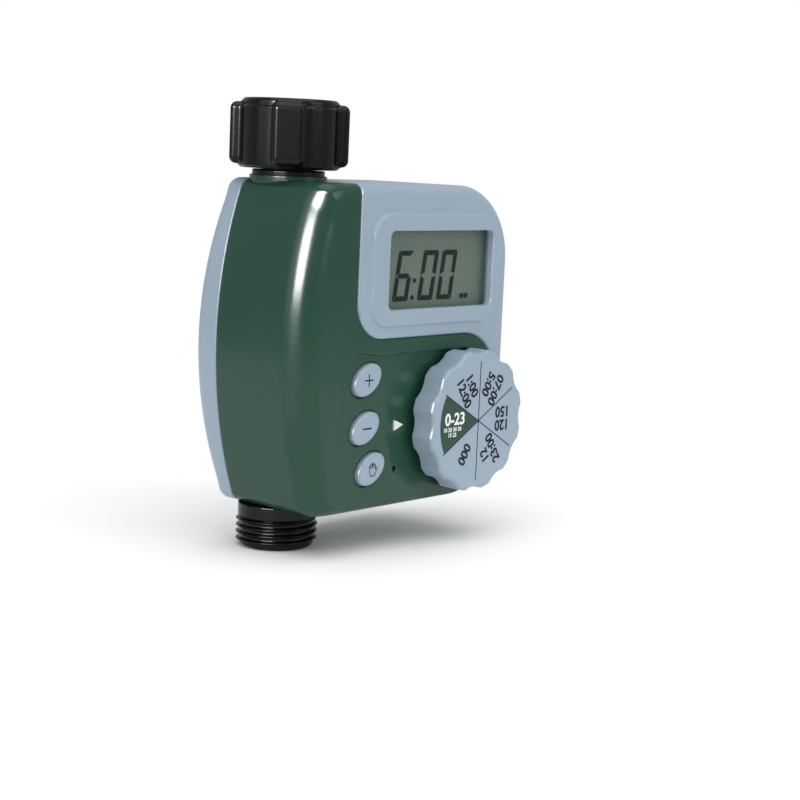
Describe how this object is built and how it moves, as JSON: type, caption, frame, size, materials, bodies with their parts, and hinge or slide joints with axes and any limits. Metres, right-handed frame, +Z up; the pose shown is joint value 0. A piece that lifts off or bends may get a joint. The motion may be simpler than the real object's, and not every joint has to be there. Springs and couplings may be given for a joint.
{
  "type": "drip irrigation timer",
  "caption": "Hose-tap watering timer with a threaded swivel nut on top, a display, a scalloped selector dial, press buttons and a threaded hose outlet below.",
  "frame": {"origin": "centre of the swivel nut's mouth, where the tap's threaded spout enters", "axes": "+Z up along the pipe, out of the nut's mouth; the face with the display and the dial looks along -Y; +X to the right seen from the front"},
  "size_m": [0.1002, 0.0594, 0.145],
  "materials": {
    "green_plastic": "satin moulded",
    "grey_plastic": "satin moulded",
    "black_plastic": "glossy moulded",
    "natural_plastic": "unpainted",
    "white_plastic": "gloss",
    "clear_window": "clear gloss",
    "lcd_glass": "reflective grey-green",
    "black_rubber": "matt",
    "silicone": "matt",
    "zinc_steel": "bright",
    "stainless": "bright",
    "board_laminate": "solder mask",
    "chip_epoxy": "matt",
    "cell_jacket": "satin sleeve",
    "coil_tape": "varnished",
    "lead_insulation": "satin"
  },
  "bodies": {
    "housing": {"front_shell": "green_plastic", "back_shell": "grey_plastic", "display_bezel": "grey_plastic", "display_window": "clear_window", "case_gasket": "black_rubber", "case_screws": "zinc_steel", "button_pad": "silicone", "dial_pointer": "white_plastic", "dial_seal": "black_rubber", "lcd_panel": "lcd_glass", "lcd_holder": "natural_plastic", "circuit_board": "board_laminate", "microcontroller": "chip_epoxy", "reset_switch": "stainless", "tray_guide": "natural_plastic", "battery_springs": "stainless", "inlet_washer": "black_rubber", "filter_screen": "stainless", "inlet_tailpiece": "black_plastic", "valve_body": "black_plastic", "pipe_seals": "black_rubber", "valve_diaphragm": "black_rubber", "diaphragm_spring": "stainless", "valve_bonnet": "black_plastic", "bonnet_screws": "zinc_steel", "solenoid_coil": "coil_tape", "solenoid_yoke": "zinc_steel", "plunger_spring": "stainless", "coil_leads": "lead_insulation"},
    "nut": {"swivel_nut": "black_plastic"},
    "dial": {"mode_dial": "grey_plastic", "dial_shaft": "natural_plastic", "dial_clip": "stainless", "selector_wiper": "natural_plastic"},
    "plus": {"plus_button": "grey_plastic"},
    "minus": {"minus_button": "grey_plastic"},
    "manual": {"manual_button": "grey_plastic"},
    "drawer": {"battery_tray": "grey_plastic", "tray_seal": "black_rubber", "battery_cells": "cell_jacket", "tray_bridge": "stainless"},
    "plunger": {"solenoid_plunger": "stainless"},
    "poppet": {"valve_poppet": "natural_plastic"}
  },
  "joints": [
    {"name": "nut_swivel", "type": "hinge", "parent": "housing", "child": "nut", "pos_m": [0, 0, -0.02], "axis": [0, 0, 1], "continuous": true},
    {"name": "dial_turn", "type": "hinge", "parent": "housing", "child": "dial", "pos_m": [0.0545, -0.03, -0.1034], "axis": [0, -1, 0], "continuous": true},
    {"name": "plus_press", "type": "slide", "parent": "housing", "child": "plus", "axis": [0, 1, 0], "range_m": [0, 0.001], "stiffness_N_per_m": 1500, "springref_m": -0.0003, "deforming": ["button_pad"]},
    {"name": "minus_press", "type": "slide", "parent": "housing", "child": "minus", "axis": [0, 1, 0], "range_m": [0, 0.001], "stiffness_N_per_m": 1500, "springref_m": -0.0003, "deforming": ["button_pad"]},
    {"name": "manual_press", "type": "slide", "parent": "housing", "child": "manual", "axis": [0, 1, 0], "range_m": [0, 0.001], "stiffness_N_per_m": 1500, "springref_m": -0.0003, "deforming": ["button_pad"]},
    {"name": "drawer_slide", "type": "slide", "parent": "housing", "child": "drawer", "axis": [1, 0, 0], "range_m": [0, 0.053]},
    {"name": "plunger_pull", "type": "slide", "parent": "housing", "child": "plunger", "axis": [1, 0, 0], "range_m": [0, 0.002], "stiffness_N_per_m": 400, "springref_m": -0.001, "deforming": ["plunger_spring"]},
    {"name": "poppet_lift", "type": "slide", "parent": "housing", "child": "poppet", "axis": [1, 0, 0], "range_m": [0, 0.0025], "stiffness_N_per_m": 500, "springref_m": -0.001, "deforming": ["diaphragm_spring", "valve_diaphragm"]}
  ]
}
